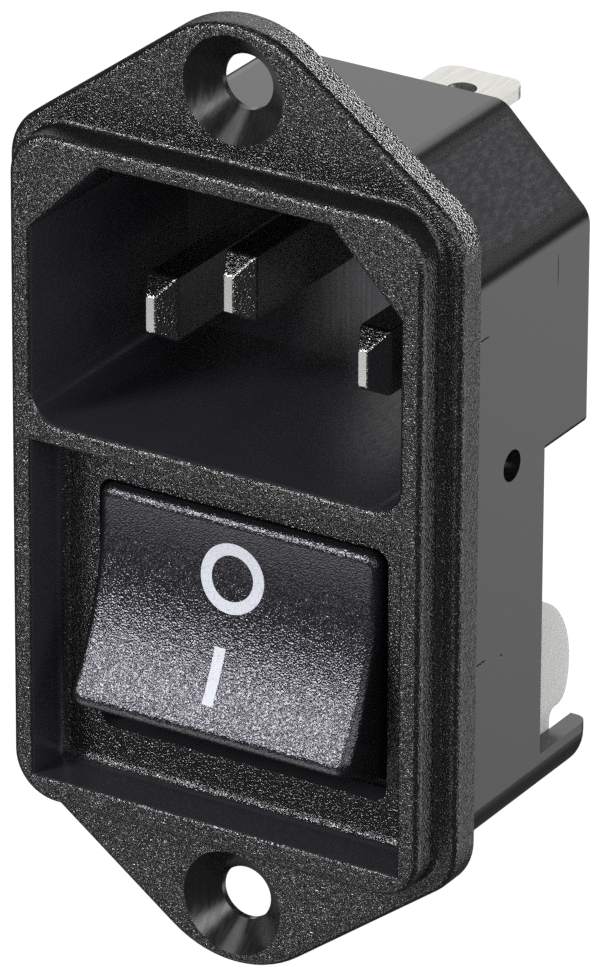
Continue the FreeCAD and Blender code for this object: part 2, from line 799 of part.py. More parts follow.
def add_rivet(rivet, height, seat, crown_end, stem_end):
    """Add a contact's crown and stem, between a seat and two ends on the Y axis."""
    crown = circle("0", height, "contact_radius")
    stem = circle("0", height, "contact_stem_radius")
    back = amount(crown_end) > amount(seat)
    rivet.pad("Y", seat if back else crown_end, crown_end if back else seat, crown)
    rivet.fillet("contact_crown - contact_edge", in_plane("y", amount(crown_end)))
    rivet.pad("Y", stem_end if back else seat, seat if back else stem_end, stem)


def make_moving_contact(label, side):
    """Head one moving contact: its crown behind the lever and its stem closed over in front."""
    rivet = Piece(label)
    add_rivet(rivet, "contact_height", "0", "contact_crown", "-lever_thickness")
    head = circle("0", "contact_height", "stem_head_radius")
    rivet.pad("Y", "-lever_thickness - stem_head", "-lever_thickness", head)
    rivet.place(f"{side}pole_offset", "fulcrum_depth", "pivot_height", "lever_tilt")


def make_fixed_contact(label, side):
    """Head one fixed contact, flush with the back of its terminal."""
    rivet = Piece(label)
    add_rivet(rivet, "0", "fixed_leg_front", "fixed_leg_front - contact_crown", "base_floor")
    rivet.place(f"{side}pole_offset", "0", "fixed_height", "0")


def finish_switch_tab(tab, thickness_low, thickness_high):
    """Round a switch tab's end and punch its hole."""
    wide = amount("switch_tab_width / 2")
    reach = amount("switch_tab_reach")
    tab.fillet("tab_corner_radius", along("z", (wide, reach), (-wide, reach)))
    tab.pocket("Z", thickness_low, thickness_high,
               circle("0", "switch_tab_reach - tab_hole_inset", "tab_hole_radius"))


def make_supply_terminal(label, side):
    """Stamp one supply terminal: a round edge under the lever between two prongs, and a tab."""
    tab = Piece(label)
    wide = "switch_tab_width / 2"
    gap = "(switch_tab_width / 2 - prong_width)"
    shoulder = "fulcrum_depth + knife_neck"
    low = "-tab_thickness / 2"
    high = "tab_thickness / 2"
    tab.pad(
        "Z", low, high,
        polygon(
            (wide, "prong_front"), (wide, "switch_tab_reach"), (f"-{wide}", "switch_tab_reach"),
            (f"-{wide}", "prong_front"), (f"-{gap}", "prong_front"), (f"-{gap}", shoulder),
            (gap, shoulder), (gap, "prong_front"),
        ),
    )
    tab.pad("X", f"-{gap}", gap, rectangle("fulcrum_depth", shoulder, "-knife_radius", "knife_radius"))
    tab.pad("X", f"-{gap}", gap, circle("fulcrum_depth", "0", "knife_radius"))
    finish_switch_tab(tab, low, high)
    tab.place(f"{side}pole_offset", "0", "pivot_height", "0")


def make_load_terminal(label, side):
    """Fold one load terminal: a leg that carries the fixed contact, with a tab behind its top."""
    tab = Piece(label)
    wide = "switch_tab_width / 2"
    under = "fixed_leg_up - tab_thickness"
    tab.pad(
        "X", f"-{wide}", wide,
        polygon(
            ("fixed_leg_front", "-fixed_leg_down"), ("base_floor", "-fixed_leg_down"),
            ("base_floor", under), ("switch_tab_reach", under),
            ("switch_tab_reach", "fixed_leg_up"), ("fixed_leg_front", "fixed_leg_up"),
        ),
    )
    tab.fillet("tab_thickness", along("x", (amount("fixed_leg_front"), amount("fixed_leg_up"))))
    hole = circle("0", "0", "contact_stem_radius + contact_clearance")
    tab.pocket("Y", "fixed_leg_front", "base_floor", hole)
    finish_switch_tab(tab, under, "fixed_leg_up")
    tab.place(f"{side}pole_offset", "0", "fixed_height", "0")


def make_base():
    """Mould the base that closes the switch from behind: a tray with a rounded hump at its foot."""
    base = Piece("switch_base")
    left = "-base_half_width"
    right = "base_half_width"
    base.pad("Y", "base_front", "base_back", rectangle(left, right, "base_bottom", "base_top"))
    base.pad("Y", "base_back", "neck_back", rectangle(left, right, "base_bottom", "hump_low"))
    base.pad("X", left, right, circle("hump_depth", "hump_height", "hump_radius"))
    clear = "(hump_radius + 1)"
    under, over = f"hump_height - {clear}", f"hump_height + {clear}"
    base.pocket("X", left, right, rectangle("neck_back", f"hump_depth + {clear}", under, "hump_low"))
    base.pocket("X", left, right, rectangle(f"hump_depth - {clear}", "base_front", under, over))
    width = amount("base_half_width")
    bottom = amount("base_bottom")
    base.fillet("body_corner_radius - wall", along("y", (width, bottom), (-width, bottom)))
    low = amount("hump_low")
    neck = amount("neck_back")
    lip = amount("hump_depth + sqrt(hump_radius ^ 2 - (hump_low - hump_height) ^ 2)")
    base.fillet("hump_lip_radius", along("x", (lip, low)))
    base.fillet("neck_radius", along("x", (neck, low)))
    for side in ("-", ""):
        base.pocket(
            "Y", "base_front", "base_floor",
            rectangle(f"{side}base_barrier_half", f"{side}(base_half_width - base_wall)",
                      "base_bottom + base_wall", "base_top - base_wall"),
        )
        hollow_end = f"{side}(base_half_width - hump_wall)"
        inner_end = f"{side}base_barrier_half"
        near, far = (hollow_end, inner_end) if side else (inner_end, hollow_end)
        base.pocket("X", near, far, circle("hump_depth", "hump_height", "hump_radius - hump_wall"))
        half = "(switch_tab_width / 2 + base_slot_clearance)"
        for low_edge, high_edge in (
            ("pivot_height - tab_thickness / 2", "pivot_height + tab_thickness / 2"),
            ("load_tab_top - tab_thickness", "load_tab_top"),
        ):
            base.pocket(
                "Y", "base_floor", "hump_depth + hump_radius",
                rectangle(f"{side}pole_offset - {half}", f"{side}pole_offset + {half}",
                          f"{low_edge} - base_slot_clearance", f"{high_edge} + base_slot_clearance"),
            )
    ridge = rectangle("-snap_half_width", "snap_half_width",
                      "snap_place - snap_length / 2", "snap_place + snap_length / 2")
    base.pad("Z", "base_top", "base_top + snap_height", ridge)
    base.pad("Z", "base_bottom - snap_height", "base_bottom", ridge)


def check_and_write():
    """Stop at any failed object or bad shape, then write each sub-part to its own file."""
    for item in doc.Objects:
        if "Invalid" in item.State or "Error" in item.State:
            raise RuntimeError(f"{item.Label} failed: {item.State}")
    os.makedirs("parts", exist_ok=True)
    for piece in PIECES:
        if piece.Shape.isNull() or not piece.Shape.isValid() or len(piece.Shape.Solids) != 1:
            raise RuntimeError(f"{piece.Label} has a bad shape")
        piece.Shape.exportStep(f"parts/{piece.Label}.step")
        print(f"{piece.Label}: {piece.Shape.Volume:.2f} cubic mm")


def main():
    """Build every sub-part and write it."""
    make_housing()
    make_pin("line_pin", "-pin_pitch / 2", "pin_height", "pin_front")
    make_pin("neutral_pin", "pin_pitch / 2", "pin_height", "pin_front")
    make_pin("earth_pin", "0", "earth_height", "earth_front")
    make_earth_tab()
    make_rocker()
    for pole, side in (("line", "-"), ("neutral", "")):
        make_pin_tab(f"{pole}_tab", side)
        make_plunger(f"{pole}_plunger", side)
        make_spring(f"{pole}_spring", side)
        make_lever(f"{pole}_contact_lever", side)
        make_moving_contact(f"{pole}_moving_contact", side)
        make_fixed_contact(f"{pole}_fixed_contact", side)
        make_supply_terminal(f"{pole}_supply_terminal", side)
        make_load_terminal(f"{pole}_load_terminal", side)
    make_base()
    check_and_write()


main()
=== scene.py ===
"""Looks of a panel-mount appliance inlet with a rocker switch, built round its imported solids.

Lengths in the classes are millimetres in the part's frame: X across the flange, Z up it, Y back
through the panel. Meshes are written in metres.
"""

import logging
import math
from dataclasses import dataclass, field
from enum import Enum
from typing import Optional, Sequence

import bpy
import numpy as np
from mathutils import Matrix, Vector

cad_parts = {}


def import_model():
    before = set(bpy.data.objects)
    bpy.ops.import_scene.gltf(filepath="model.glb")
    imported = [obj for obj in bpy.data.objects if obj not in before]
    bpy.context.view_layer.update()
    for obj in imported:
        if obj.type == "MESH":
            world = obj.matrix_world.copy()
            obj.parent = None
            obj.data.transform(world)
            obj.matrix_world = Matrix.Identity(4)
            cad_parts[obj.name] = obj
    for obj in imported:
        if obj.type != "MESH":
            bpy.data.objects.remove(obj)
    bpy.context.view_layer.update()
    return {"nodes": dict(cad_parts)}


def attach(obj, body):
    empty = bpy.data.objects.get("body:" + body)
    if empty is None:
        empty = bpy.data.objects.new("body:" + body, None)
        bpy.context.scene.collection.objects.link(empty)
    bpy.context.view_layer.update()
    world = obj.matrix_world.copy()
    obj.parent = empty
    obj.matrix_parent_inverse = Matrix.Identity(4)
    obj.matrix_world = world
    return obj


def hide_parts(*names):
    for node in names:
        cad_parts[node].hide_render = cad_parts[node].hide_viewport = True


MM = 0.001
LOG = logging.getLogger("inlet")


class Pole(Enum):
    """The two switched poles, by the word that starts the names of their parts."""

    LINE = "line"
    NEUTRAL = "neutral"


def linear(colour: str) -> tuple[float, float, float, float]:
    """Turn an sRGB colour such as "#1a2b3c" to linear light.

    Args:
        colour: six hex digits after a hash sign.

    Returns:
        Red, green, blue and an alpha of 1.
    """
    parts = [int(colour[i:i + 2], 16) / 255 for i in (1, 3, 5)]
    red, green, blue = (c / 12.92 if c <= 0.04045 else ((c + 0.055) / 1.055) ** 2.4 for c in parts)
    return red, green, blue, 1.0


def add_node(tree: bpy.types.NodeTree, kind: str, settings: Optional[dict] = None,
             inputs: Optional[dict] = None) -> bpy.types.Node:
    """Add a shader node with its settings, input values and links.

    Args:
        tree: the node tree it goes in.
        kind: the node's type name without the leading "ShaderNode".
        settings: attribute names and values.
        inputs: socket names or numbers, each with a plain value or an output socket to link.

    Returns:
        The new node.
    """
    node = tree.nodes.new("ShaderNode" + kind)
    for name, value in (settings or {}).items():
        setattr(node, name, value)
    for key, value in (inputs or {}).items():
        if isinstance(value, bpy.types.NodeSocket):
            tree.links.new(value, node.inputs[key])
        else:
            node.inputs[key].default_value = value
    return node


def new_material(name: str) -> tuple[bpy.types.Material, bpy.types.NodeTree]:
    """Add an empty material and return it with its node tree."""
    material = bpy.data.materials.new(name)
    material.use_nodes = True
    material.node_tree.nodes.clear()
    return material, material.node_tree


def finish_surface(tree: bpy.types.NodeTree, shader: bpy.types.Node) -> None:
    """Link a shader to a new material output."""
    add_node(tree, "OutputMaterial", inputs={"Surface": shader.outputs[0]})


def math_node(tree: bpy.types.NodeTree, operation: str, *values) -> bpy.types.NodeSocket:
    """Add one sum of two or three values and return its result."""
    node = add_node(tree, "Math", {"operation": operation}, dict(enumerate(values)))
    return node.outputs[0]


def seen_directly(tree: bpy.types.NodeTree, ray: bpy.types.Node) -> bpy.types.NodeSocket:
    """Return 1 where the camera sees a thing itself or through something clear, from a Light Path."""
    return math_node(tree, "MAXIMUM", ray.outputs["Is Camera Ray"], ray.outputs["Is Transmission Ray"])


def ramp(tree: bpy.types.NodeTree, value, low: float, high: float) -> bpy.types.NodeSocket:
    """Rise smoothly from 0 to 1 as a value goes from low to high, or fall where high is the lower."""
    flip = high < low
    node = add_node(tree, "MapRange", {"interpolation_type": "SMOOTHSTEP"},
                    {"Value": value, "From Min": min(low, high), "From Max": max(low, high),
                     "To Min": float(flip), "To Max": float(not flip)})
    return node.outputs["Result"]


@dataclass(frozen=True)
class MouldedNylon:
    """Black glass-filled nylon: spark-eroded grain on the outside in front, polished in the hollows.

    The grain catches single bright points, the hollows mirror the pins, and the body behind the
    panel is satin with the sheen of a plain steel mould. Its grit is as coarse as the speckle in
    the photograph, which is the finest that the picture can show. The socket and the rocker's
    pocket get a lighter pigment: painted fill light that lifts their shade.
    """

    name: str = "moulded_black_nylon"
    pigment: str = "#141416"
    # Lighter pigment for the socket and the rocker's pocket: painted fill light that lifts their shade.
    painted_fill_pigment: str = "#2e2e33"
    grain_grit_mm: float = 0.1
    grain_height_mm: float = 0.115
    edge_grain: float = 0.55
    grain_roughness: float = 0.12
    polished_roughness: float = 0.22
    satin_roughness: float = 0.24
    cutter_mark_mm: float = 0.2
    hollow_half_width_mm: float = 12.35
    hollow_half_height_mm: float = 19.75
    screw_height_mm: float = 25.2
    countersink_mm: float = 3.3
    body_half_width_mm: float = 12.4
    body_half_height_mm: float = 19.9
    body_back_mm: float = 14.0
    side_face_mm: float = 13.0
    mould_marks_per_metre: float = 900.0
    mould_mark_height_mm: float = 0.02
    nick_depth_mm: float = 0.25
    ior: float = 1.67
    soft_edge_mm: float = 0.1
    behind_edge_mm: float = 0.2
    front_fade_mm: tuple[float, float] = (0.2, -0.05)
    leaning_front: tuple[float, float] = (-0.35, -0.75)
    flat_front: tuple[float, float] = (-0.9, -0.99)
    nick_edge: tuple[float, float] = (1.2, 0.6)
    nicks: tuple[tuple[float, float, float, float], ...] = (
        (3.1, 11.4, 0.5, 0.07), (3.05, -8.6, 0.6, 0.07), (5.4, -9.0, 0.14, 0.08), (11.2, 12.7, 0.04, 0.9))

    def grain_mask(self, tree: bpy.types.NodeTree) -> tuple[bpy.types.NodeSocket, ...]:
        """Work out where the grain is, from the place and facing of the surface.

        Args:
            tree: the material's node tree.

        Returns:
            A value of 1 on the grained outside in front and 0 in the hollows and behind, the same
            value with the grain rubbed down on the rounded edges and the sides, and a value of 1 in
            the socket and the rocker's pocket, where the lighter pigment paints in fill light.
        """
        spot = add_node(tree, "TexCoord")
        place = add_node(tree, "SeparateXYZ", inputs={0: spot.outputs["Object"]})
        facing = add_node(tree, "SeparateXYZ", inputs={0: spot.outputs["Normal"]})
        across, back, up = place.outputs
        in_front = ramp(tree, back, *(y * MM for y in self.front_fade_mm))
        faces_front = ramp(tree, facing.outputs[1], *self.leaning_front)
        flat = ramp(tree, facing.outputs[1], *self.flat_front)
        faces_front_near = math_node(tree, "MULTIPLY", faces_front, in_front)
        side = ramp(tree, math_node(tree, "ABSOLUTE", across), self.hollow_half_width_mm * MM,
                    (self.hollow_half_width_mm + self.soft_edge_mm) * MM)
        end = ramp(tree, math_node(tree, "ABSOLUTE", up), self.hollow_half_height_mm * MM,
                   (self.hollow_half_height_mm + self.soft_edge_mm) * MM)
        outside = math_node(tree, "MAXIMUM", side, end)
        inside = math_node(tree, "SUBTRACT", 1.0, math_node(tree, "MAXIMUM", outside, faces_front_near))
        grained = math_node(tree, "MAXIMUM", faces_front, outside)
        rise = math_node(tree, "SUBTRACT", math_node(tree, "ABSOLUTE", up), self.screw_height_mm * MM)
        across_squared = math_node(tree, "MULTIPLY", across, across)
        rise_squared = math_node(tree, "MULTIPLY", rise, rise)
        reach = math_node(tree, "SQRT", math_node(tree, "ADD", across_squared, rise_squared))
        clear_of_screw = ramp(tree, reach, (self.countersink_mm - self.soft_edge_mm) * MM,
                              self.countersink_mm * MM)
        depth = math_node(tree, "MULTIPLY_ADD", flat, 1 - self.edge_grain, self.edge_grain)
        on_front = math_node(tree, "MULTIPLY", grained, in_front)
        there = math_node(tree, "MULTIPLY", on_front, clear_of_screw)
        return there, math_node(tree, "MULTIPLY", there, depth), inside

    def behind_mask(self, tree: bpy.types.NodeTree) -> bpy.types.NodeSocket:
        """Return 1 behind the flange and 0 in front of its back face."""
        spot = add_node(tree, "TexCoord")
        place = add_node(tree, "SeparateXYZ", inputs={0: spot.outputs["Object"]})
        across, back, up = place.outputs
        edge = self.behind_edge_mm
        side = ramp(tree, math_node(tree, "ABSOLUTE", across), self.body_half_width_mm * MM,
                    (self.body_half_width_mm + edge) * MM)
        end = ramp(tree, math_node(tree, "ABSOLUTE", up), self.body_half_height_mm * MM,
                   (self.body_half_height_mm + edge) * MM)
        deep = ramp(tree, back, self.body_back_mm * MM, (self.body_back_mm + edge) * MM)
        outside = math_node(tree, "MAXIMUM", math_node(tree, "MAXIMUM", side, end), deep)
        return math_node(tree, "MULTIPLY", outside, ramp(tree, back, 0.0, edge * MM))

    def nick_mask(self, tree: bpy.types.NodeTree) -> bpy.types.NodeSocket:
        """Mark the handling nicks on the right side: Y, Z, half length along Y and half width, in mm."""
        spot = add_node(tree, "TexCoord")
        place = add_node(tree, "SeparateXYZ", inputs={0: spot.outputs["Object"]})
        across, back, up = place.outputs
        found = None
        for y, z, length, width in self.nicks:
            along = math_node(tree, "DIVIDE", math_node(tree, "SUBTRACT", back, y * MM), length * MM)
            aside = math_node(tree, "DIVIDE", math_node(tree, "SUBTRACT", up, z * MM), width * MM)
            reach = math_node(tree, "ADD", math_node(tree, "MULTIPLY", along, along),
                              math_node(tree, "MULTIPLY", aside, aside))
            mark = ramp(tree, reach, *self.nick_edge)
            found = mark if found is None else math_node(tree, "MAXIMUM", found, mark)
        on_side = ramp(tree, across, self.side_face_mm * MM, (self.side_face_mm + self.soft_edge_mm) * MM)
        return math_node(tree, "MULTIPLY", found, on_side)

    def build(self) -> bpy.types.Material:
        """Make the material."""
        material, tree = new_material(self.name)
        spot = add_node(tree, "TexCoord").outputs["Object"]
        grain, depth, inside = self.grain_mask(tree)
        behind = self.behind_mask(tree)
        grit = add_node(tree, "TexNoise", inputs={
            "Vector": spot, "Scale": 1 / (self.grain_grit_mm * MM), "Detail": 0.6, "Roughness": 0.5})
        height = add_node(tree, "Bump", inputs={
            "Strength": depth, "Distance": self.grain_height_mm * MM, "Height": grit.outputs[0]})
        tool = add_node(tree, "TexNoise", inputs={
            "Vector": spot, "Scale": self.mould_marks_per_metre, "Detail": 3.0})
        sheen = add_node(tree, "Bump", inputs={
            "Strength": 0.12, "Distance": self.mould_mark_height_mm * MM, "Height": tool.outputs[0],
            "Normal": height.outputs[0]})
        drawn = add_node(tree, "Mapping", inputs={"Vector": spot, "Scale": (1.0, 0.3, 0.03)})
        cut = add_node(tree, "TexNoise", inputs={
            "Vector": drawn.outputs[0], "Scale": 1 / (self.cutter_mark_mm * MM), "Detail": 2.0})
        lined = add_node(tree, "MapRange", inputs={
            "Value": cut.outputs[0], "From Min": 0.3, "From Max": 0.7,
            "To Min": self.polished_roughness * 0.75, "To Max": self.polished_roughness * 1.35})
        smooth = add_node(tree, "Mix", inputs={
            "Factor": behind, "A": lined.outputs["Result"], "B": self.satin_roughness})
        rough = add_node(tree, "Mix", inputs={
            "Factor": grain, "A": smooth.outputs["Result"], "B": self.grain_roughness})
        # Painted fill light: the socket and pocket get the lighter pigment so that their shade reads
        # lighter.
        hollow = math_node(tree, "MULTIPLY", inside, math_node(tree, "SUBTRACT", 1.0, behind))
        tint = add_node(tree, "Mix", {"data_type": "RGBA"}, {
            "Factor": hollow, "A": linear(self.pigment), "B": linear(self.painted_fill_pigment)})
        nicks = self.nick_mask(tree)
        dull = add_node(tree, "Mix", inputs={"Factor": nicks, "A": rough.outputs["Result"], "B": 1.0})
        torn = add_node(tree, "Bump", {"invert": True}, {
            "Strength": 1.0, "Distance": self.nick_depth_mm * MM, "Height": nicks,
            "Normal": sheen.outputs[0]})
        shader = add_node(tree, "BsdfPrincipled", inputs={
            "Base Color": tint.outputs["Result"], "Roughness": dull.outputs["Result"],
            "Normal": torn.outputs[0], "IOR": self.ior})
        finish_surface(tree, shader)
        return material


@dataclass(frozen=True)
class RockerNylon:
    """Black nylon of the rocker and plungers, with a shallow grain.

    The shallow grain spreads the key light to a soft silvery field on the half that faces it and
    leaves the other half dark. Its grit is the speckle's size in the photograph.
    """

    name: str = "rocker_black_nylon"
    pigment: str = "#111114"
    sheen: str = "#f4f3ff"
    grain_grit_mm: float = 0.1
    grain_height_mm: float = 0.04
    roughness: float = 0.24
    ior: float = 1.67

    def build(self) -> bpy.types.Material:
        """Make the material."""
        material, tree = new_material(self.name)
        spot = add_node(tree, "TexCoord").outputs["Object"]
        grit = add_node(tree, "TexNoise", inputs={
            "Vector": spot, "Scale": 1 / (self.grain_grit_mm * MM), "Detail": 0.6, "Roughness": 0.5})
        height = add_node(tree, "Bump", inputs={
            "Strength": 1.0, "Distance": self.grain_height_mm * MM, "Height": grit.outputs[0]})
        shader = add_node(tree, "BsdfPrincipled", inputs={
            "Base Color": linear(self.pigment), "Roughness": self.roughness,
            "Normal": height.outputs[0], "IOR": self.ior, "Specular Tint": linear(self.sheen)})
        finish_surface(tree, shader)
        return material


@dataclass(frozen=True)
class NaturalNylon:
    """Undyed nylon of the switch base.

    Light goes a little way in, so it looks milky, with soft shadows and a soft sheen.
    """

    name: str = "natural_nylon"
    colour: str = "#f6f5f2"
    roughness: float = 0.32
    depth_mm: float = 0.8
    flow_marks_per_metre: float = 500.0
    flow_mark_height_mm: float = 0.05
    ior: float = 1.53

    def build(self) -> bpy.types.Material:
        """Make the material."""
        material, tree = new_material(self.name)
        spot = add_node(tree, "TexCoord").outputs["Object"]
        flow = add_node(tree, "TexNoise", inputs={
            "Vector": spot, "Scale": self.flow_marks_per_metre, "Detail": 2.0})
        height = add_node(tree, "Bump", inputs={
            "Strength": 0.2, "Distance": self.flow_mark_height_mm * MM, "Height": flow.outputs[0]})
        shader = add_node(tree, "BsdfPrincipled", inputs={
            "Base Color": linear(self.colour), "Roughness": self.roughness, "Normal": height.outputs[0],
            "IOR": self.ior, "Subsurface Weight": 0.4, "Subsurface Scale": self.depth_mm * MM,
            "Subsurface Radius": (1.0, 1.0, 1.0)})
        finish_surface(tree, shader)
        return material


@dataclass(frozen=True)
class PlatedMetal:
    """A plated or bare strip metal with fine rolling or drawing lines along one axis.

    The lines break its mirror into soft streaks. Real lines are a few hundredths of a millimetre
    apart, too fine to show, so they are drawn at line_mm.
    """

    name: str
    colour: str
    roughness: float
    line_mm: float
    line_height_mm: float
    stretch: tuple[float, float, float] = (1.0, 0.05, 1.0)
    forged_mm: float = 0.0
    pit_depth_share: float = 0.5
    leaning_front: tuple[float, float] = (-0.15, -0.35)
    flat_front: tuple[float, float] = (-0.99, -0.95)

    def build(self) -> bpy.types.Material:
        """Make the material."""
        material, tree = new_material(self.name)
        spot = add_node(tree, "TexCoord").outputs["Object"]
        drawn = add_node(tree, "Mapping", inputs={"Vector": spot, "Scale": self.stretch})
        lines = add_node(tree, "TexNoise", inputs={
            "Vector": drawn.outputs[0], "Scale": 1 / (self.line_mm * MM), "Detail": 3.0})
        height = add_node(tree, "Bump", inputs={
            "Strength": 0.35, "Distance": self.line_height_mm * MM, "Height": lines.outputs[0]})
        shade = add_node(tree, "MapRange", inputs={
            "Value": lines.outputs[0], "From Min": 0.3, "From Max": 0.7,
            "To Min": self.roughness * 0.8, "To Max": self.roughness * 1.3})
        if self.forged_mm:
            height = self.forging(tree, spot, height)
        shader = add_node(tree, "BsdfPrincipled", inputs={
            "Base Color": linear(self.colour), "Metallic": 1.0, "Roughness": shade.outputs["Result"],
            "Normal": height.outputs[0]})
        finish_surface(tree, shader)
        return material

    def forging(self, tree: bpy.types.NodeTree, spot: bpy.types.NodeSocket,
                under: bpy.types.Node) -> bpy.types.Node:
        """Pit the faces that lean to the front, as the die does at a pin's tip.

        Args:
            tree: the material's node tree.
            spot: Object coordinates.
            under: the bump node of the drawing lines.

        Returns:
            The bump node that carries both.
        """
        facing = add_node(tree, "SeparateXYZ", inputs={0: add_node(tree, "TexCoord").outputs["Normal"]})
        leaning = ramp(tree, facing.outputs[1], *self.leaning_front)
        not_flat = ramp(tree, facing.outputs[1], *self.flat_front)
        there = math_node(tree, "MULTIPLY", leaning, not_flat)
        pits = add_node(tree, "TexNoise", inputs={
            "Vector": spot, "Scale": 1 / (self.forged_mm * MM), "Detail": 1.0})
        return add_node(tree, "Bump", inputs={
            "Strength": there, "Distance": self.forged_mm * self.pit_depth_share * MM,
            "Height": pits.outputs[0], "Normal": under.outputs[0]})


@dataclass(frozen=True)
class PadPrint:
    """White pad-printing ink: flat, thin, with the grain underneath just showing."""

    name: str = "white_print"
    colour: str = "#d5d7e0"
    thin_colour: str = "#a8abb1"
    grit_per_metre: float = 5900.0
    roughness: float = 0.55

    def build(self) -> bpy.types.Material:
        """Make the material."""
        material, tree = new_material(self.name)
        spot = add_node(tree, "TexCoord").outputs["Object"]
        grit = add_node(tree, "TexNoise", inputs={
            "Vector": spot, "Scale": self.grit_per_metre, "Detail": 2.0})
        tint = add_node(tree, "MapRange", inputs={
            "Value": grit.outputs[0], "From Min": 0.3, "From Max": 0.45, "To Min": 0.45, "To Max": 1.0})
        ink = add_node(tree, "Mix", {"data_type": "RGBA"}, {
            "Factor": tint.outputs["Result"], "A": linear(self.thin_colour), "B": linear(self.colour)})
        shader = add_node(tree, "BsdfPrincipled", inputs={
            "Base Color": ink.outputs["Result"], "Roughness": self.roughness, "IOR": 1.5})
        finish_surface(tree, shader)
        return material


def dress(node: bpy.types.Object, material: bpy.types.Material) -> None:
    """Give every material slot of an object one material."""
    if not node.material_slots:
        node.data.materials.append(material)
    for place in node.material_slots:
        place.material = material


def tube_mesh(name: str, sections: np.ndarray, closed: bool) -> bpy.types.Object:
    """Make a closed shell from a row of sections.

    The shell is S(i, j) = sections[i, j], with j running round each section, clockwise as seen
    along the row from its start, so that the faces point outwards. A closed row joins its last
    section to its first. An open row gets a flat cap at each end.

    Args:
        name: the object's name.
        sections: points in metres, by section, by place round it, by axis.
        closed: whether the row is a ring.

    Returns:
        The new object.
    """
    rows, round_count, _ = sections.shape
    steps = rows if closed else rows - 1
    i, j = np.meshgrid(np.arange(steps), np.arange(round_count), indexing="ij")
    nxt_i, nxt_j = (i + 1) % rows, (j + 1) % round_count
    quads = np.stack([i * round_count + j, i * round_count + nxt_j,
                      nxt_i * round_count + nxt_j, nxt_i * round_count + j], axis=-1).reshape(-1, 4)
    faces = quads.tolist()
    if not closed:
        faces.append(list(range(round_count))[::-1])
        faces.append(list(range((rows - 1) * round_count, rows * round_count)))
    mesh = bpy.data.meshes.new(name)
    mesh.from_pydata(sections.reshape(-1, 3).tolist(), [], faces)
    mesh.update()
    piece = bpy.data.objects.new(name, mesh)
    bpy.context.scene.collection.objects.link(piece)
    return piece


@dataclass
class Housing:
    """The black one-piece moulding: flange, frame, socket, pocket, body and shelf."""

    nylon: MouldedNylon = field(default_factory=MouldedNylon)

    def build(self, nodes: dict[str, bpy.types.Object]) -> None:
        """Dress the housing.

        Args:
            nodes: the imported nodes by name.
        """
        dress(nodes["housing"], self.nylon.build())
        LOG.info("housing dressed")


@dataclass
class Pins:
    """The three nickel-plated pins and the tinned tabs riveted behind them.

    Each pin is a row of rounded rectangles along Y, so its edges have the small radius that
    coining leaves. A section is (Y behind the tip, half thickness, half width). The riveted tenon
    ends at one depth on all three pins, so its sections have the part's own Y instead.
    """

    spots: tuple[tuple[str, float, float, float], ...] = (
        ("line", -7.0, 9.15, 0.45), ("neutral", 7.0, 9.15, 0.45), ("earth", 0.0, 13.15, -2.45))
    sections: tuple[tuple[float, float, float], ...] = (
        (0.0, 0.25, 1.07), (0.03, 0.31, 1.13), (0.1, 0.36, 1.19), (1.28, 0.93, 1.92),
        (1.4, 0.98, 1.97), (1.55, 1.0, 2.0))
    tenon: tuple[tuple[float, float, float], ...] = (
        (14.7, 1.0, 2.0), (14.7, 0.6, 1.2), (15.5, 0.6, 1.2), (15.5, 1.0, 1.6), (15.9, 1.0, 1.6),
        (16.0, 0.92, 1.52))
    edge_radius: float = 0.14
    largest_radius_share: float = 0.6
    corner_points: int = 5
    nickel: PlatedMetal = field(default_factory=lambda: PlatedMetal(
        "nickel_plated_brass", "#d9d8d5", 0.15, 0.1, 0.004, forged_mm=0.11))
    tin: PlatedMetal = field(default_factory=lambda: PlatedMetal(
        "tinned_brass", "#d8d6d1", 0.33, 0.12, 0.006))

    def outline(self, across: float, up: float) -> np.ndarray:
        """Return a rounded rectangle of half sizes across and up as rows of X and Z.

        In each quarter the points are the corner's centre plus r (cos t, sin t), where t turns
        through a right angle and the centre stands r inside both edges. The rows are in reverse
        order of t, which is clockwise as seen from the pin's tip.
        """
        radius = min(self.edge_radius, across * self.largest_radius_share)
        turn = np.linspace(0, math.pi / 2, self.corner_points)
        corners = []
        for quarter, (sx, sz) in enumerate(((1, 1), (-1, 1), (-1, -1), (1, -1))):
            angle = turn + quarter * math.pi / 2
            corners.append(np.stack([sx * (across - radius) + radius * np.cos(angle),
                                     sz * (up - radius) + radius * np.sin(angle)], axis=-1))
        return np.concatenate(corners)[::-1]

    def pin(self, name: str, across: float, up: float, front: float) -> bpy.types.Object:
        """Forge one pin.

        Args:
            name: the object's name.
            across: X of its middle in millimetres.
            up: Z of its middle.
            front: Y of its tip.

        Returns:
            The new object.
        """
        rows = [(front + y, a, b) for y, a, b in self.sections] + list(self.tenon)
        points = []
        for depth, half_across, half_up in rows:
            ring = self.outline(half_across, half_up)
            level = np.full(len(ring), depth)
            points.append(np.stack([across + ring[:, 0], level, up + ring[:, 1]], axis=-1))
        return tube_mesh(name, np.array(points) * MM, False)

    def build(self, nodes: dict[str, bpy.types.Object]) -> None:
        """Make the pins and dress them and their tabs."""
        nickel, tin = self.nickel.build(), self.tin.build()
        for name, across, up, front in self.spots:
            piece = self.pin(f"{name}_pin_coined", across, up, front)
            dress(piece, nickel)
            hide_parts(name + "_pin")
            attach(piece, "frame")
            dress(nodes[name + "_pin"], nickel)
            dress(nodes[name + "_tab"], tin)
        LOG.info("pins made and tabs dressed")


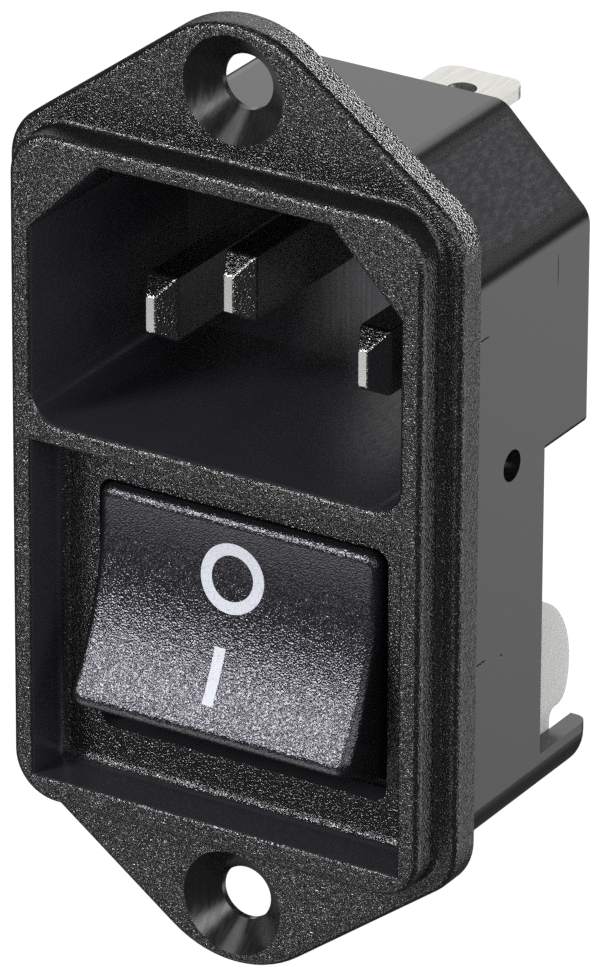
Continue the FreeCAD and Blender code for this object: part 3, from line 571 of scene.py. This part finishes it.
@dataclass
class Rocker:
    """The rocker with its two printed marks, in its own upright frame with the pivot as origin.

    The face is a hollow cylinder about X: a point at arc length s above the middle stands at
    y = centre + R cos(s / R), z = R sin(s / R), and print lies a hair in front of it.
    """

    face_front: float = 5.8
    half_height: float = 6.5
    hollow_radius: float = 18.0
    pivot: tuple[float, float, float] = (0.0, 2.2, -8.85)
    tilt: float = -16.2
    ring_place: float = 2.86
    ring_outer: float = 2.1
    ring_inner: float = 1.37
    bar_place: float = -2.94
    bar_length: float = 3.4
    ring_across: float = -0.2
    bar_across: float = -0.4
    bar_width: float = 0.72
    print_height: float = 0.012
    print_sink: float = 0.03
    ring_steps: int = 96
    bar_rows: int = 25
    nylon: RockerNylon = field(default_factory=RockerNylon)
    ink: PadPrint = field(default_factory=PadPrint)

    def on_face(self, across: np.ndarray, arc: np.ndarray, proud: np.ndarray) -> np.ndarray:
        """Place points of the print on the rocker's face at rest.

        Args:
            across: X in millimetres.
            arc: length along the hollow above its middle.
            proud: height in front of the face.

        Returns:
            Points in metres in the part's frame.
        """
        angle = arc / self.hollow_radius
        centre = -self.face_front - math.sqrt(self.hollow_radius ** 2 - self.half_height ** 2)
        reach = self.hollow_radius - proud
        points = np.stack([across, centre + reach * np.cos(angle), reach * np.sin(angle)], axis=-1)
        turn = np.array(Matrix.Rotation(math.radians(self.tilt), 3, "X"))
        return (points @ turn.T + np.array(self.pivot)) * MM

    def ring(self) -> bpy.types.Object:
        """Print the ring: a flat rectangular section carried round a circle on the face."""
        turn = np.linspace(0, 2 * math.pi, self.ring_steps, endpoint=False)
        radius = np.array([self.ring_inner, self.ring_inner, self.ring_outer, self.ring_outer])
        proud = np.array([-self.print_sink, self.print_height, self.print_height, -self.print_sink])
        across = self.ring_across + np.outer(np.cos(turn), radius)
        arc = self.ring_place + np.outer(np.sin(turn), radius)
        return tube_mesh("mark_o", self.on_face(across, arc, np.broadcast_to(proud, arc.shape)), True)

    def bar(self) -> bpy.types.Object:
        """Print the bar: the same section carried along the hollow."""
        arc = self.bar_place + np.linspace(-0.5, 0.5, self.bar_rows) * self.bar_length
        side = self.bar_across + np.array([-0.5, -0.5, 0.5, 0.5]) * self.bar_width
        proud = np.array([-self.print_sink, self.print_height, self.print_height, -self.print_sink])
        shape = (len(arc), 4)
        points = self.on_face(np.broadcast_to(side, shape), np.repeat(arc[:, None], 4, 1),
                              np.broadcast_to(proud, shape))
        return tube_mesh("mark_i", points, False)

    def build(self, nodes: dict[str, bpy.types.Object]) -> None:
        """Dress the rocker and its plungers, and print the marks."""
        nylon = self.nylon.build()
        ink = self.ink.build()
        dress(nodes["rocker"], nylon)
        for pole in Pole:
            dress(nodes[pole.value + "_plunger"], nylon)
        for piece in (self.ring(), self.bar()):
            dress(piece, ink)
            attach(piece, "rocker")
            LOG.info("%s printed", piece.name)


@dataclass
class SwitchWorks:
    """Springs, levers, contacts, terminals and the pale base behind the rocker."""

    base: NaturalNylon = field(default_factory=NaturalNylon)
    tin: PlatedMetal = field(default_factory=lambda: PlatedMetal(
        "tinned_terminal", "#d4d2cc", 0.3, 0.12, 0.006))
    wire: PlatedMetal = field(default_factory=lambda: PlatedMetal(
        "spring_wire", "#b9b9b6", 0.22, 0.03, 0.002, (1.0, 1.0, 1.0)))
    copper: PlatedMetal = field(default_factory=lambda: PlatedMetal(
        "copper_strip", "#c98a66", 0.28, 0.1, 0.004, (1.0, 1.0, 0.05)))
    silver: PlatedMetal = field(default_factory=lambda: PlatedMetal(
        "silver_contact", "#e6e4de", 0.18, 0.08, 0.003, (1.0, 1.0, 1.0)))

    def build(self, nodes: dict[str, bpy.types.Object]) -> None:
        """Dress the parts of the switch."""
        finishes = {
            "supply_terminal": self.tin.build(), "spring": self.wire.build(),
            "contact_lever": self.copper.build(), "moving_contact": self.silver.build(),
        }
        finishes["load_terminal"] = finishes["supply_terminal"]
        finishes["fixed_contact"] = finishes["moving_contact"]
        for pole in Pole:
            for part, material in finishes.items():
                dress(nodes[f"{pole.value}_{part}"], material)
        dress(nodes["switch_base"], self.base.build())
        LOG.info("switch works dressed")


@dataclass(frozen=True)
class Panel:
    """A round patch of the surroundings that only shows in reflections.

    It has its full level out to the inner angle from its middle and none past the outer, in degrees.
    """

    toward: tuple[float, float, float]
    inner: float
    outer: float
    level: float


@dataclass(frozen=True)
class Lamp:
    """A square soft light that looks at the part's middle: place and side in mm, power in watts."""

    name: str
    place: tuple[float, float, float]
    side: float
    power: float

    def hang(self) -> None:
        """Put the lamp in the scene."""
        data = bpy.data.lights.new(self.name, "AREA")
        data.shape = "SQUARE"
        data.size = self.side * MM
        data.energy = self.power
        lamp = bpy.data.objects.new(self.name, data)
        lamp.location = Vector(self.place) * MM
        lamp.rotation_euler = (-lamp.location).to_track_quat("-Z", "Y").to_euler()
        bpy.context.scene.collection.objects.link(lamp)


@dataclass
class Studio:
    """Floor, surroundings, lamps and the camera that stands where the photograph was taken."""

    floor_height: float = -29.6
    floor_size: float = 3000.0
    azimuth: float = 31.506
    elevation: float = 24.975
    roll: float = 0.254
    distance: float = 534.3
    focal_pixels: float = 9477.65
    picture_width: int = 600
    sensor_width: float = 36.0
    target_across: float = 2.767
    target_up: float = 0.313
    floor_colour: str = "#f4f4f4"
    floor_glow: float = 1.25
    floor_glow_share: float = 0.75
    room_level: float = 0.07
    fill_level: float = 0.1
    # Each panel stands where one kind of face mirrors it to the camera: a dim wide one behind,
    # then the front faces, the rounded right edges, the right side, the top and the top's bevel.
    panels: tuple[Panel, ...] = (
        Panel((0.3, 0.77, 0.3), 30, 50, 0.06),
        Panel((-0.36, -0.586, -0.725), 17, 25, 1.95),
        Panel((0.8, 0.42, -0.42), 8, 22, 2.6),
        Panel((0.5, 0.815, -0.292), 3, 17, 1.25),
        Panel((-0.474, 0.773, 0.423), 17, 27, 1.2),
        Panel((0.423, 0.773, 0.474), 8, 18, 0.3),
    )
    lamps: tuple[Lamp, ...] = (
        Lamp("key_softbox", (-332, -546, 287), 190, 3.8),
        Lamp("fill_softbox", (303, -495, 270), 300, 1.1),
        Lamp("softbox_above", (-250, -350, 600), 300, 0.5),
        Lamp("softbox_right", (600, -150, 250), 300, 1.4),
        Lamp("softbox_behind", (0, 700, 60), 400, 4.0),
    )

    def camera(self) -> None:
        """Stand the camera on its bearing, looking at the part."""
        bearing, height, roll = (math.radians(a) for a in (self.azimuth, self.elevation, self.roll))
        back = Vector((math.sin(bearing) * math.cos(height), -math.cos(bearing) * math.cos(height),
                       math.sin(height)))
        right = Vector((math.cos(bearing), math.sin(bearing), 0))
        up = back.cross(right)
        turned = right * math.cos(roll) + up * math.sin(roll)
        upright = up * math.cos(roll) - right * math.sin(roll)
        place = turned * self.target_across + upright * self.target_up + back * self.distance
        data = bpy.data.cameras.new("camera")
        data.sensor_fit = "HORIZONTAL"
        data.sensor_width = self.sensor_width
        data.lens = self.focal_pixels * self.sensor_width / self.picture_width
        data.clip_end = 20
        camera = bpy.data.objects.new("camera", data)
        matrix = Matrix((turned, upright, back)).transposed().to_4x4()
        matrix.translation = place * MM
        camera.matrix_world = matrix
        bpy.context.scene.collection.objects.link(camera)
        bpy.context.scene.camera = camera

    def floor(self) -> None:
        """Lay the pale floor under the lower ear."""
        half = self.floor_size / 2 * MM
        level = self.floor_height * MM
        mesh = bpy.data.meshes.new("floor")
        mesh.from_pydata([(-half, -half, level), (half, -half, level), (half, half, level),
                          (-half, half, level)], [], [(0, 1, 2, 3)])
        piece = bpy.data.objects.new("floor", mesh)
        bpy.context.scene.collection.objects.link(piece)
        material, tree = new_material("studio_floor")
        ray = add_node(tree, "LightPath")
        seen = seen_directly(tree, ray)
        paper = add_node(tree, "BsdfDiffuse", inputs={"Color": linear(self.floor_colour)})
        glow = add_node(tree, "Emission", inputs={"Color": (1, 1, 1, 1), "Strength": self.floor_glow})
        share = math_node(tree, "MULTIPLY", seen, self.floor_glow_share)
        mix = add_node(tree, "MixShader", inputs={0: share, 1: paper.outputs[0], 2: glow.outputs[0]})
        finish_surface(tree, mix)
        dress(piece, material)
        piece.visible_glossy = False

    def surroundings(self) -> None:
        """Make the surroundings: white to the camera and a grey room with pale panels in reflections."""
        world = bpy.data.worlds.new("studio")
        bpy.context.scene.world = world
        world.use_nodes = True
        world.cycles.sampling_method = "NONE"
        tree = world.node_tree
        tree.nodes.clear()
        ray = add_node(tree, "LightPath")
        seen = seen_directly(tree, ray)
        way = add_node(tree, "TexCoord").outputs["Generated"]
        level = self.room_level
        for panel in self.panels:
            toward = add_node(tree, "VectorMath", {"operation": "DOT_PRODUCT"}, {
                0: way, 1: tuple(Vector(panel.toward).normalized())})
            there = ramp(tree, toward.outputs["Value"], math.cos(math.radians(panel.outer)),
                         math.cos(math.radians(panel.inner)))
            blend = add_node(tree, "Mix", inputs={"Factor": there, "A": level, "B": panel.level})
            level = blend.outputs["Result"]
        glossy = add_node(tree, "Mix", inputs={
            "Factor": ray.outputs["Is Glossy Ray"], "A": self.fill_level, "B": level})
        strength = add_node(tree, "Mix", inputs={"Factor": seen, "A": glossy.outputs["Result"], "B": 1.0})
        sky = add_node(tree, "Background", inputs={"Strength": strength.outputs["Result"]})
        sky.inputs["Color"].default_value = (1, 1, 1, 1)
        add_node(tree, "OutputWorld", inputs={"Surface": sky.outputs[0]})

    def build(self) -> None:
        """Set the stage and switch the lamps on."""
        bpy.context.scene.view_settings.view_transform = "Standard"
        bpy.context.scene.cycles.use_denoising = False
        bpy.context.scene.cycles.sample_clamp_indirect = 0.1
        bpy.context.scene.cycles.caustics_reflective = False
        self.camera()
        self.floor()
        self.surroundings()
        for lamp in self.lamps:
            lamp.hang()
        LOG.info("studio set")


def main() -> None:
    """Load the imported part, dress it and set the studio."""
    logging.basicConfig(level=logging.INFO, format="%(name)s: %(message)s")
    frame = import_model()
    nodes = frame["nodes"]
    for assembly in (Housing(), Pins(), Rocker(), SwitchWorks()):
        assembly.build(nodes)
    Studio().build()


if __name__ == "__main__":
    main()
